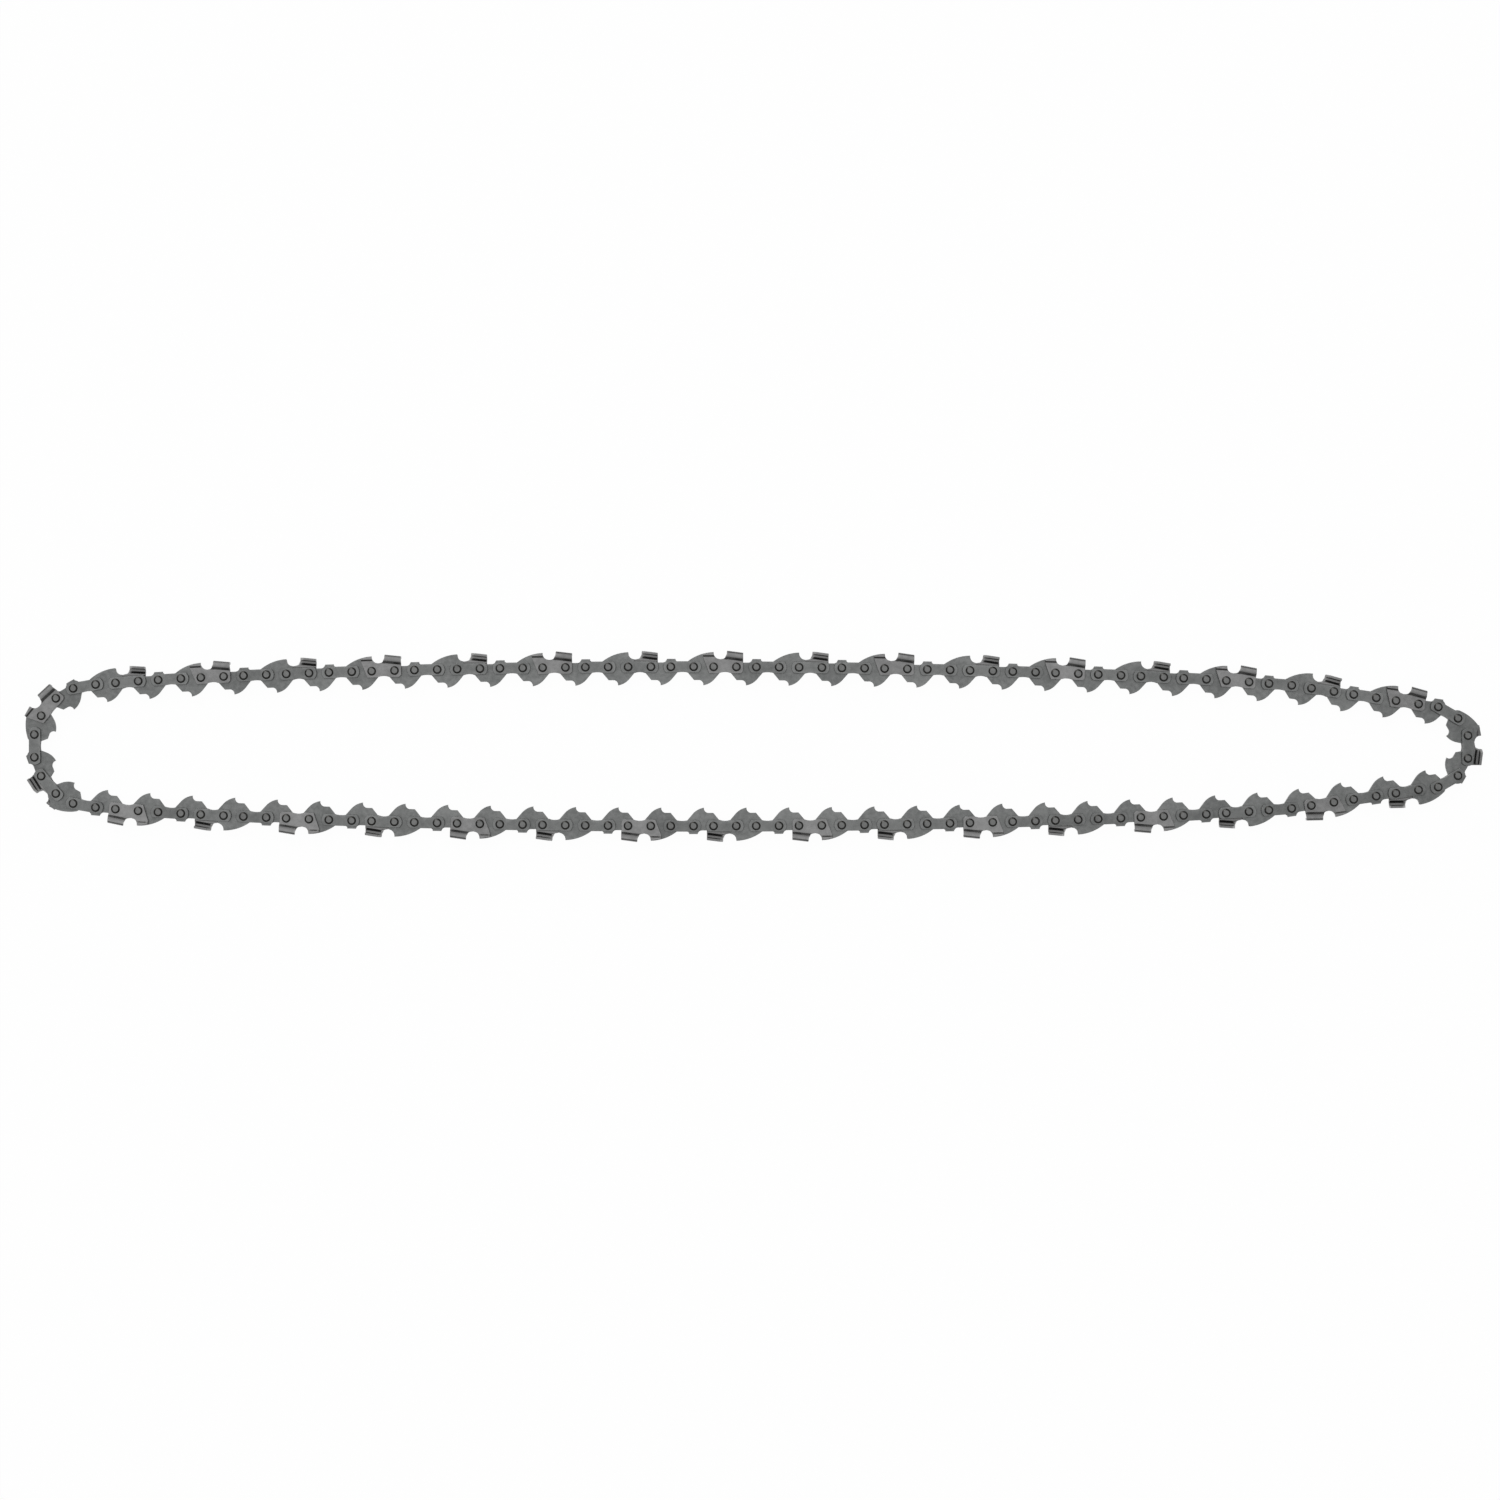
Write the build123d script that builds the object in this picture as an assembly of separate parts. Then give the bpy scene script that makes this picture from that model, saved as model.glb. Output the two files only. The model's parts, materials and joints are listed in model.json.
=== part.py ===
from build123d import *
import os
from math import asin, cos, degrees, hypot, radians, sin, sqrt

# Saw chain loop lying on its side. Lengths are in millimetres and angles in degrees.
# The chain lies in the XY plane and runs clockwise in the order of its rivets.
# Each link is drawn with its front rivet at the origin, X to its rear rivet,
# Y to the outside of the loop and Z across the chain.

# Chain sizes
pitch = 9.32                  # half the distance between every second rivet
drive_hole_spacing = 8.70     # between the two rivets of a drive link
gauge = 1.27                  # drive link thickness
strap_thickness = 1.20        # tie strap and cutter plate thickness
side_clearance = 0.06         # drive link to side plate, each side
kerf_half_width = 3.00        # middle of the chain to the outer face of a cutter

# Rivets
hub_radius = 1.45
head_radius = 1.95            # foot of the spun head, on the side plate
button_radius = 1.36          # flat top of the spun head
head_height = 0.50
turning_clearance = 0.06      # drive link hole around the rivet
fixed_clearance = 0.03        # side plate hole and face around the rivet

# Drive link outline
link_end_radius = 3.60        # round ends about the rivets
front_foot_angle = 46.0       # below the rivet line, where the round front end meets the slope
shoulder_depth = 5.72         # flat step ahead of the hook
shoulder_front = 0.12         # start of that step, behind the front rivet
shoulder_length = 2.45
tang_depth = 8.00             # rivet line to the tip of the tang
tang_tip_back = 4.22          # tip behind the front rivet
hook_hollow = 0.55            # how far the hook curves in
tang_belly = 0.53             # how far the lower half of the tang's back bulges out
tang_bend_back = 0.50         # end of its straight upper half, behind the rear rivet
tang_bend_depth = 5.15
tang_heel_back = 2.96         # start of that half, behind the rear rivet
tang_heel_depth = 2.25

# Heel bump of a plain drive link
scoop_height = 1.95           # top edge between the rivets
bump_height = 3.53
bump_front = 1.70             # start of the bump's flat top, ahead of the rear rivet
bump_rear = 2.00              # end of it, behind the rear rivet
bump_ramp = 0.80
ramp_rounding = 1.00          # of the ramp's foot, along each side of it

# Fin of a bumper drive link
fin_height = 6.50
fin_front = 2.60              # start of the fin, ahead of and above the front rivet
fin_bulge = 0.95              # how far the fin's back curves out
fin_wall_angle = 220.0        # a point of the gullet's circle on the fin's rear edge
fin_foot_angle = 257.0        # where that edge leaves the gullet's circle

# Side plates
strap_height = 2.45           # rivet line to the outer edge
strap_depth = 2.57            # rivet line to the inner edge
strap_end_radius = 3.30
arch_depth = 0.40             # hollow of the inner edge between the rivets
arch_length = 5.60

# Cutter
cutter_depth = 2.84           # rivet line to the inner edge
cutter_arch_depth = 0.64
gauge_toe = 1.96              # foot of the depth gauge, ahead of the front rivet
gauge_front = 4.62            # its upper front corner, ahead of the front rivet
gauge_knee = 4.00             # height of that corner
gauge_height = 6.45
gauge_slope = 11.0
gauge_bend_height = 4.55      # where the depth gauge starts to lean out
gauge_lean = 0.55             # how far it leans out
gullet_radius = 2.90
gullet_back = 2.84            # gullet middle, behind the front rivet
gullet_height = 6.25
top_plate_height = 7.09       # at its front
top_plate_lip = 0.06           # level edge at the gullet, ahead of the relief
top_plate_length = 7.20
top_plate_thickness = 1.10
top_plate_reach = 0.60        # past the middle of the chain
top_plate_slope = 7.3         # relief towards the rear
top_plate_angle = 25.0        # front edge across the chain
top_corner_chamfer = 0.60     # between the top plate and the side
flare_top = 2.65              # below the top plate, start of the flare
flare_drop = 1.00             # height over which the side plate flares out
heel_chamfer = 1.00

# Loop: how the chain lies
left_turn = 20.0              # bend at each rivet round the left end
left_links = 4                # links from the left end plate to the arch
right_turn = 30.0             # bend at each rivet round the right end
right_links = 2
taper_links = 7               # straight run between the arch and the right end
arch_segments = 28            # two links each, in a shallow arch
arch_lean = 2.95              # lean at the ends of the arch if it were one even bow
arch_curl = 1.50              # lean that the last few segments add to it
curl_sharpness = 9            # power of the distance from the middle that this lean grows with
runs_per_side = 4             # stiff runs that each arch is grouped into


def gullet_reach(height):
    """Half the gullet's width at a height over the rivets."""
    return sqrt(gullet_radius**2 - (height - gullet_height) ** 2)


side_hole_spacing = 2 * pitch - drive_hole_spacing
top_plate_front = gullet_back + gullet_reach(top_plate_height) + top_plate_lip
plate_inner = gauge / 2 + side_clearance
plate_outer = plate_inner + strap_thickness
rivet_half_length = plate_outer + fixed_clearance + head_height
upper_links = left_links + 2 * arch_segments + taper_links + right_links
rivet_count = 2 * (upper_links + 1)


# Loop layout


def link_length(n):
    """Rivet spacing of link n: even links are drive links, odd ones side plates."""
    return side_hole_spacing if n % 2 else drive_hole_spacing


def rise(headings, first):
    """Height gained over links with these headings, the first being link number first."""
    return sum(link_length(first + k) * sin(radians(h)) for k, h in enumerate(headings))


def upper_headings():
    """Headings from the left end plate's upper rivet to the right one's.

    The straight run slopes just as much as brings both end plates to the same height.
    """
    left = [90 - left_turn * (k + 1) for k in range(left_links)]
    right = [right_turn * (right_links - k) - 90 for k in range(right_links)]
    arch = []
    for k in range(arch_segments):
        from_middle = 1 - 2 * k / (arch_segments - 1)
        lean = arch_lean * from_middle + arch_curl * from_middle**curl_sharpness
        arch += [lean, lean]
    taper_first = left_links + len(arch)
    taper_length = sum(link_length(taper_first + k) for k in range(taper_links))
    drop = rise(left, 0) + rise(right, taper_first + taper_links)
    taper = [-degrees(asin(drop / taper_length))] * taper_links
    return left + arch + taper + right


def rivet_places():
    """Rivet middles in order, clockwise from the left end's upper rivet."""
    x, y = 0.0, side_hole_spacing / 2
    upper = [(x, y)]
    for n, heading in enumerate(upper_headings()):
        x += link_length(n) * cos(radians(heading))
        y += link_length(n) * sin(radians(heading))
        upper.append((x, y))
    return upper + [(x, -y) for x, y in reversed(upper)]


def pivot_rivets():
    """Rivets at which one stiff run turns on the next, clockwise from the upper left."""
    step = 2 * arch_segments // runs_per_side
    upper = [left_links + k * step for k in range(runs_per_side + 1)]
    return upper + [rivet_count - 1 - n for n in reversed(upper)]


def run_names():
    """One name for each stiff run, in the order of its first pivot."""
    runs = range(1, runs_per_side + 1)
    top = [f"top_run_{k}" for k in runs]
    bottom = [f"bottom_run_{k}" for k in runs]
    return top + ["right_end"] + bottom + ["left_end"]


def run_of(link):
    """Name of the stiff run that a link belongs to."""
    passed = sum(1 for n in pivot_rivets() if n <= link)
    return run_names()[passed - 1]


def on_left_side(link):
    """True where link's cutter is a left-hand one: the hands alternate, from the left end."""
    order = link // 4
    before_right_end = link < rivet_count // 2
    return order % 2 == 0 if before_right_end else order % 2 == 1


# Link shapes


def bulged(start, end, bulge):
    """Arc between two points whose middle lies bulge to the right of the straight line."""
    dx, dy = end[0] - start[0], end[1] - start[1]
    length = hypot(dx, dy)
    middle = ((start[0] + end[0]) / 2 + bulge * dy / length, (start[1] + end[1]) / 2 - bulge * dx / length)
    return ThreePointArc(start, middle, end)


def plate(outline, spacing, hole_radius, low, high):
    """Flat plate with two rivet holes, from height low to high."""
    with BuildPart() as link:
        with BuildSketch(Plane.XY.offset(low)):
            make_face(outline)
            with Locations((0, 0), (spacing, 0)):
                Circle(hole_radius, mode=Mode.SUBTRACT)
        extrude(amount=high - low)
    return link.part


def tang_edges(heel):
    """Lower outline of a drive link from its rear end, round the tang, to its front end."""
    tip = (tang_tip_back, -tang_depth)
    hook = (shoulder_front + shoulder_length, -shoulder_depth)
    step = (shoulder_front, -shoulder_depth)
    bend = (drive_hole_spacing + tang_bend_back, -tang_bend_depth)
    foot_angle = radians(front_foot_angle)
    front = (-link_end_radius * cos(foot_angle), -link_end_radius * sin(foot_angle))
    back = [Line(heel, bend), bulged(bend, tip, -tang_belly)]
    hollow = bulged(tip, hook, hook_hollow)
    return back + [hollow, Polyline(hook, step, front)], front


def drive_link():
    """Drive link with a heel bump over its rear rivet."""
    rear = drive_hole_spacing
    start = (-sqrt(link_end_radius**2 - scoop_height**2), scoop_height)
    ramp_top = (rear - bump_front, bump_height)
    ramp_foot = (ramp_top[0] - bump_ramp, scoop_height)
    ramp_share = ramp_rounding / hypot(bump_ramp, bump_height - scoop_height)
    scoop_end = (ramp_foot[0] - ramp_rounding, scoop_height)
    ramp_start = (
        ramp_foot[0] + ramp_share * bump_ramp,
        scoop_height + ramp_share * (bump_height - scoop_height),
    )
    bump_end = (rear + bump_rear, bump_height)
    bump_foot = (rear + bump_rear, sqrt(link_end_radius**2 - bump_rear**2))
    heel = (rear + tang_heel_back, -tang_heel_depth)
    edges = [Line(start, scoop_end), TangentArc(scoop_end, ramp_start, tangent=(1, 0))]
    edges.append(Polyline(ramp_start, ramp_top, bump_end, bump_foot))
    edges.append(ThreePointArc(bump_foot, (rear + link_end_radius, 0), heel))
    tang, front = tang_edges(heel)
    edges += tang + [ThreePointArc(front, (-link_end_radius, 0), start)]
    return plate(edges, rear, hub_radius + turning_clearance, -gauge / 2, gauge / 2)


def bumper_drive_link():
    """Drive link whose fin rises to the gullet of the cutter behind it."""
    rear = drive_hole_spacing
    start = (-fin_front, sqrt(link_end_radius**2 - fin_front**2))
    peak = (rear + gullet_back - gullet_reach(fin_height), fin_height)
    wall, foot = [
        (rear + gullet_back + gullet_radius * cos(angle), gullet_height + gullet_radius * sin(angle))
        for angle in (radians(fin_wall_angle), radians(fin_foot_angle))
    ]
    heel = (rear + tang_heel_back, -tang_heel_depth)
    edges = [bulged(start, peak, -fin_bulge), ThreePointArc(peak, wall, foot)]
    edges.append(ThreePointArc(foot, (rear + link_end_radius, 0), heel))
    tang, front = tang_edges(heel)
    edges += tang + [ThreePointArc(front, (-link_end_radius, 0), start)]
    return plate(edges, rear, hub_radius + turning_clearance, -gauge / 2, gauge / 2)


def tie_strap(low):
    """Plain side plate whose lower face lies at height low."""
    rear = side_hole_spacing
    end = strap_end_radius
    top_reach = sqrt(end**2 - strap_height**2)
    low_reach = sqrt(end**2 - strap_depth**2)
    arch_front = ((rear - arch_length) / 2, -strap_depth)
    arch_rear = ((rear + arch_length) / 2, -strap_depth)
    edges = [
        Line((-top_reach, strap_height), (rear + top_reach, strap_height)),
        ThreePointArc((rear + top_reach, strap_height), (rear + end, 0), (rear + low_reach, -strap_depth)),
        Line((rear + low_reach, -strap_depth), arch_rear),
        ThreePointArc(arch_rear, (rear / 2, arch_depth - strap_depth), arch_front),
        Line(arch_front, (-low_reach, -strap_depth)),
        ThreePointArc((-low_reach, -strap_depth), (-end, 0), (-top_reach, strap_height)),
    ]
    return plate(edges, rear, hub_radius + fixed_clearance, low, low + strap_thickness)


def cutter_outline():
    """Side view of a cutter: depth gauge, round gullet, top plate and foot."""
    rear = side_hole_spacing
    slope = radians(top_plate_slope)
    gauge_top_front = (-gauge_front, gauge_height - gauge_front * sin(radians(gauge_slope)))
    gauge_top_rear = (gullet_back - gullet_reach(gauge_height), gauge_height)
    plate_front = (top_plate_front, top_plate_height)
    lip = (gullet_back + gullet_reach(top_plate_height), top_plate_height)
    plate_rear_x = top_plate_front + top_plate_length
    plate_rear = (plate_rear_x, top_plate_height - top_plate_length * sin(slope) / cos(slope))
    foot_rear = (plate_rear_x, heel_chamfer - cutter_depth)
    foot = (plate_rear_x - heel_chamfer, -cutter_depth)
    arch_front = ((rear - arch_length) / 2, -cutter_depth)
    arch_rear = ((rear + arch_length) / 2, -cutter_depth)
    gullet_floor = (gullet_back, gullet_height - gullet_radius)
    return [
        Polyline((-gauge_toe, -cutter_depth), (-gauge_front, gauge_knee), gauge_top_front, gauge_top_rear),
        ThreePointArc(gauge_top_rear, gullet_floor, lip),
        Polyline(lip, plate_front, plate_rear, foot_rear, foot, arch_rear),
        ThreePointArc(arch_rear, (rear / 2, cutter_arch_depth - cutter_depth), arch_front),
        Line(arch_front, (-gauge_toe, -cutter_depth)),
    ]


def top_plate_section():
    """Section across the cutter, down from the top plate: cut corner, flare and side plate."""
    outer, inner = kerf_half_width, kerf_half_width - strap_thickness
    deep = top_plate_height + cutter_depth + 2 * strap_thickness
    flare_end = flare_top + flare_drop
    knee = strap_thickness / 3
    points = [
        (-top_plate_reach, 0),
        (outer - top_corner_chamfer, 0),
        (outer, top_corner_chamfer),
        (outer, flare_top),
        (plate_outer, flare_end),
        (plate_outer, deep),
        (plate_inner, deep),
        (plate_inner, flare_end - knee),
        (inner, flare_top - knee),
        (inner, top_plate_thickness),
        (-top_plate_reach, top_plate_thickness),
    ]
    with BuildSketch() as section:
        with BuildLine():
            Polyline(*points, close=True)
        make_face()
    return section.sketch


def gauge_section():
    """Section across the depth gauge, which leans out above its bend."""
    bend, top = gauge_bend_height, gauge_bend_height + 2 * gauge_lean
    high, low = 2 * gauge_height, -2 * cutter_depth
    points = [
        (low, plate_inner),
        (low, plate_outer),
        (bend, plate_outer),
        (top, plate_outer + gauge_lean),
        (high, plate_outer + gauge_lean),
        (high, plate_inner + gauge_lean),
        (top, plate_inner + gauge_lean),
        (bend, plate_inner),
    ]
    with BuildSketch() as section:
        with BuildLine():
            Polyline(*points, close=True)
        make_face()
    return section.sketch


def left_cutter():
    """Left-hand cutter, bent from one plate, its gullet filed at an angle across the chain."""
    slope = radians(top_plate_slope)
    reach = top_plate_front + top_plate_length
    crown = Plane(
        origin=(top_plate_front, top_plate_height, 0),
        x_dir=(0, 0, 1),
        z_dir=(cos(slope), -sin(slope), 0),
    )
    to_gullet = top_plate_front - gullet_back
    rear_half = extrude(crown * top_plate_section(), amount=2 * top_plate_length)
    rear_half += extrude(crown * top_plate_section(), amount=-to_gullet / cos(slope))
    front_half = extrude(Plane((gullet_back, 0, 0), x_dir=(0, 1, 0), z_dir=(1, 0, 0)) * gauge_section(),
                         amount=-2 * reach)
    front_half = front_half & Pos(gullet_back - reach, 0, 0) * Box(2 * reach, 4 * reach, 4 * reach)
    blank = rear_half + front_half
    outline = cutter_outline()
    with BuildSketch(Plane.XY.offset(-2 * kerf_half_width)) as side:
        make_face(outline)
        with Locations((0, 0), (side_hole_spacing, 0)):
            Circle(hub_radius + fixed_clearance, mode=Mode.SUBTRACT)
    cutter = blank & extrude(side.sketch, amount=4 * kerf_half_width)
    file = Cylinder(gullet_radius, 8 * kerf_half_width)
    file = Pos(gullet_back, gullet_height, kerf_half_width) * Rot(0, -top_plate_angle, 0) * file
    return (cutter - file).solid()


def rivet():
    """Pin through one drive link and its two side plates, with a tapered head spun on each end."""
    pin = Cylinder(hub_radius, 2 * (plate_outer + fixed_clearance))
    head = Pos(0, 0, rivet_half_length - head_height / 2) * Cone(head_radius, button_radius, head_height)
    return (pin + head + mirror(head, about=Plane.XY)).solid()


# Assembly


def build_chain():
    """Solids of every node, by the node's name, with the chain lying on Z = 0."""
    plain, bumper = drive_link().solid(), bumper_drive_link().solid()
    strap_high, strap_low = tie_strap(plate_inner).solid(), tie_strap(-plate_outer).solid()
    left = left_cutter()
    right = mirror(left, about=Plane.XY).solid()
    pin = rivet()
    nodes = {}

    def add(run, kind, solid, place):
        nodes.setdefault(f"{run}_{kind}", []).append(solid.moved(place))

    rivets = rivet_places()
    for n in range(rivet_count):
        here, there = rivets[n], rivets[(n + 1) % rivet_count]
        heading = Vector(there[0] - here[0], there[1] - here[1], 0)
        place = Location(Plane((here[0], here[1], 0), x_dir=heading, z_dir=(0, 0, 1)))
        run = run_of(n)
        if n % 4 == 0:
            add(run, "bumper_drive_links", bumper, place)
        elif n % 4 == 2:
            add(run, "drive_links", plain, place)
        else:
            has_cutter = n % 4 == 1
            cutter_is_left = has_cutter and on_left_side(n)
            cutter_is_right = has_cutter and not on_left_side(n)
            high = (left, "left_cutters") if cutter_is_left else (strap_high, "tie_straps")
            low = (right, "right_cutters") if cutter_is_right else (strap_low, "tie_straps")
            add(run, high[1], high[0], place)
            add(run, low[1], low[0], place)
            for x, y in (here, there):
                add(run, "rivets", pin, Location((x, y, 0)))
    box = Compound([s for solids in nodes.values() for s in solids]).bounding_box()
    shift = Location((-box.center().X, -box.center().Y, -box.min.Z))
    return {name: [s.moved(shift) for s in solids] for name, solids in nodes.items()}


if __name__ == "__main__":
    os.makedirs("parts", exist_ok=True)
    for name, solids in build_chain().items():
        export_step(Compound(solids), f"parts/{name}.step")
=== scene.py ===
import json
import logging
from abc import ABC, abstractmethod
from dataclasses import dataclass, field
from enum import Enum
from math import asin, atan, cos, hypot, pi, radians, sin, sqrt, tan

import bpy
import numpy as np
from bpy.types import ID, Material, Node, NodeSocket, Object, World
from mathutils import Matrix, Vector


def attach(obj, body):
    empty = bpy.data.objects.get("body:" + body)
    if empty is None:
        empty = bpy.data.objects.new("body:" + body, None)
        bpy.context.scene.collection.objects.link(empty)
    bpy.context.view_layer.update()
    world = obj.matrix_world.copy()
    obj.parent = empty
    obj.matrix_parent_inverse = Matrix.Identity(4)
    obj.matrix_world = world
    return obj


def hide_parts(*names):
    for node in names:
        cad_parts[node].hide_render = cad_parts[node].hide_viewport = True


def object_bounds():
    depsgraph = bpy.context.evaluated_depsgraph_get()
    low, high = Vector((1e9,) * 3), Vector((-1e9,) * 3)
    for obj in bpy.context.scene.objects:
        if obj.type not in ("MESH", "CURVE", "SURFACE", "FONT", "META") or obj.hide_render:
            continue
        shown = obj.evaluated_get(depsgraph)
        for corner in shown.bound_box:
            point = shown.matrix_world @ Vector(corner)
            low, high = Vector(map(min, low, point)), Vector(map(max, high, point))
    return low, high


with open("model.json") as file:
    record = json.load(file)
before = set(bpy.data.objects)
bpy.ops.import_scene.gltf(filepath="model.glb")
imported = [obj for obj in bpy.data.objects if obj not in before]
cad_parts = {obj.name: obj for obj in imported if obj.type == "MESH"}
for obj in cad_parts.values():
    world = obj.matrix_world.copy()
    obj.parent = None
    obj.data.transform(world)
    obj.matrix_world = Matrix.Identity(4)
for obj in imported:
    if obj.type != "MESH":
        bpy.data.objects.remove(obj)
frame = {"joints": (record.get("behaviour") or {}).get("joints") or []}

CAD_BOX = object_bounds()
MM = 0.001
TONE_SEED = 7
WELD_DIGITS = 4
LOG = logging.getLogger("saw_chain")
Pair = tuple[float, float]
Triple = tuple[float, float, float]
Array = np.ndarray
Point = Pair | Array


class Side(Enum):
    """Side of the chain that a plate lies on: the near side faces up."""

    NEAR = 1
    FAR = -1


class Place(Enum):
    """What a link carries, by the remainder of its number in the pattern that repeats."""

    BUMPER = 0
    CUTTER = 1
    DRIVE = 2
    STRAPS = 3

    def among(self, links: Array) -> Array:
        """Those of some link numbers that have this place."""
        return links[links % len(Place) == self.value]


class Mark(Enum):
    """What each point of a surface carries for its finish and its painted shade, and the name of its
    attribute.
    """

    WEAR = "wear"
    # oil round the rivets, painted shade on the rivet heads' flanks and in the cutters' bends, corner lines
    # and insides, and a painted contact shadow along the straps
    GRIME = "grime"
    TONE = "tone"


# Sizes that several pieces share


@dataclass(frozen=True)
class ChainSizes:
    """Sizes of the chain in millimetres, as on the solids.

    Attributes:
        drive_spacing, side_spacing: rivet spacing of a drive link and of a side plate.
        gauge, plate_thickness: thickness of a drive link and of a side plate.
        side_clearance: room between a drive link and a side plate.
        kerf_half_width: from the chain's middle to a cutter's outer face.
        hub_radius, head_radius: radius of a rivet inside the links and of its spun head.
        head_height: how far a head stands over the side plate.
        turning_clearance: room round the rivet in a drive link.
        fixed_clearance: room round the rivet in a side plate, and under its head.
        gullet_radius: radius of the round gullet in a cutter and its neighbour's fin.
        gullet_back, gullet_height: from a cutter's front rivet back and up to the gullet's middle.
    """

    drive_spacing: float = 8.70
    side_spacing: float = 9.94
    gauge: float = 1.27
    plate_thickness: float = 1.20
    side_clearance: float = 0.06
    kerf_half_width: float = 3.00
    hub_radius: float = 1.45
    head_radius: float = 1.95
    head_height: float = 0.50
    turning_clearance: float = 0.06
    fixed_clearance: float = 0.03
    gullet_radius: float = 2.90
    gullet_back: float = 2.84
    gullet_height: float = 6.25

    @property
    def gullet_floor(self) -> float:
        """Height of the gullet's lowest point over the rivets."""
        return self.gullet_height - self.gullet_radius

    @property
    def plate_inner(self) -> float:
        """Height of a side plate's inner face over the chain's middle."""
        return self.gauge / 2 + self.side_clearance

    @property
    def plate_outer(self) -> float:
        """Height of a side plate's outer face over the chain's middle."""
        return self.plate_inner + self.plate_thickness


@dataclass(frozen=True)
class Chords:
    """Number of flat faces that stand for each curve or stretch.

    Attributes:
        end: half of a link's round end.
        ramp, back, hook: the foot of the heel bump, and the tang's curved back and hook.
        fin, gullet: the fin's bow, and the gullet behind it.
        arch: the hollow under a strap.
        hole, rivet: a rivet hole, and a rivet all round.
        gauge, tooth: the length of a cutter's two halves.
        flare, top: the height of a tooth's flare, and the width of its top plate.
    """

    end: int = 4
    ramp: int = 3
    back: int = 6
    hook: int = 5
    fin: int = 8
    gullet: int = 6
    arch: int = 5
    hole: int = 12
    rivet: int = 18
    gauge: int = 5
    tooth: int = 8
    flare: int = 2
    top: int = 3


SIZES = ChainSizes()
CHORDS = Chords()


# The path of the loop


@dataclass(frozen=True)
class Loop:
    """Where the rivets lie: two shallow arches between a wide turn and a narrow one.

    Attributes:
        left_turn, left_links: turn in degrees at each rivet of the left end, and its links.
        right_turn, right_links: the same at the right end.
        taper_links: links of the straight stretch before the right end.
        arch_segments: pairs of links in one arch.
        arch_lean, arch_curl, curl_sharpness: heading at an arch's end, and how it steepens there.
        runs_per_side: stiff runs that each arch is divided into.
        tolerance: how far a pivot of the frame may be from a rivet, in millimetres.
    """

    left_turn: float = 20.0
    left_links: int = 4
    right_turn: float = 30.0
    right_links: int = 2
    taper_links: int = 7
    arch_segments: int = 28
    arch_lean: float = 2.95
    arch_curl: float = 1.50
    curl_sharpness: int = 9
    runs_per_side: int = 4
    tolerance: float = 0.01

    def lengths(self, count: int) -> Array:
        """Rivet spacings of the first links, drive links and side plates in turn."""
        return np.where(np.arange(count) % 2, SIZES.side_spacing, SIZES.drive_spacing)

    def headings(self) -> Array:
        """Heading of each upper link: turns at the ends, an arch, and a straight that evens the ends.

        Along the arch the heading is lean * t + curl * t**sharpness, with t from 1 to -1.

        Returns:
            Headings in radians, clockwise from the left end's upper rivet.
        """
        left = np.radians(90 - self.left_turn * (1 + np.arange(self.left_links)))
        right = np.radians(self.right_turn * (self.right_links - np.arange(self.right_links)) - 90)
        t = np.linspace(1, -1, self.arch_segments)
        arch = np.repeat(np.radians(self.arch_lean * t + self.arch_curl * t**self.curl_sharpness), 2)
        first = left.size + arch.size
        lengths = self.lengths(first + self.taper_links + right.size)
        straight = lengths[first:first + self.taper_links].sum()
        rise = (lengths[:left.size] * np.sin(left)).sum()
        rise += (lengths[first + self.taper_links:] * np.sin(right)).sum()
        return np.concatenate([left, arch, np.full(self.taper_links, -asin(rise / straight)), right])

    def rivets(self) -> Array:
        """Rivet middles in millimetres in the frame, clockwise from the left end's upper rivet.

        Each upper rivet is the sum of the links before it, and the lower half is the mirror image.

        Returns:
            Array of one row (x, y) per rivet.
        """
        turn = self.headings()
        steps = self.lengths(turn.size)[:, None] * np.stack([np.cos(turn), np.sin(turn)], 1)
        upper = np.vstack([[0, 0], np.cumsum(steps, 0)]) + [0, SIZES.side_spacing / 2]
        around = np.vstack([upper, upper[::-1] * [1, -1]])
        pivot = frame["joints"][0]["pos_m"]
        return around + np.array(pivot[:2]) / MM - around[self.left_links]

    def height(self) -> float:
        """Height of the chain's middle over the floor, in millimetres."""
        return frame["joints"][0]["pos_m"][2] / MM

    def runs(self) -> dict[str, Array]:
        """The stiff runs, each from one pivot up to the next, and the two ends.

        Returns:
            Link numbers of each run, by the name of its body.
        """
        count = 2 * (self.headings().size + 1)
        step = 2 * self.arch_segments // self.runs_per_side
        upper = self.left_links + step * np.arange(self.runs_per_side + 1)
        pivots = np.concatenate([upper, count - 1 - upper[::-1]])
        sides = [f"{side}_run_{k + 1}" for side in ("top", "bottom") for k in range(self.runs_per_side)]
        names = sides[:self.runs_per_side] + ["right_end"] + sides[self.runs_per_side:] + ["left_end"]
        place = (np.searchsorted(pivots, np.arange(count), side="right") - 1) % len(names)
        return {name: np.flatnonzero(place == k) for k, name in enumerate(names)}

    def check(self) -> None:
        """Stops the script where the rivets don't fall on the frame's pivots."""
        rivets = self.rivets()
        pivots = np.array([joint["pos_m"][:2] for joint in frame["joints"]]) / MM
        apart = np.linalg.norm(pivots[:, None] - rivets[None], axis=2).min(1)
        if apart.max() > self.tolerance:
            raise ValueError(f"the path of the loop is {apart.max():.3f} mm off the pivots of the frame")


# Outlines


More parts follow.
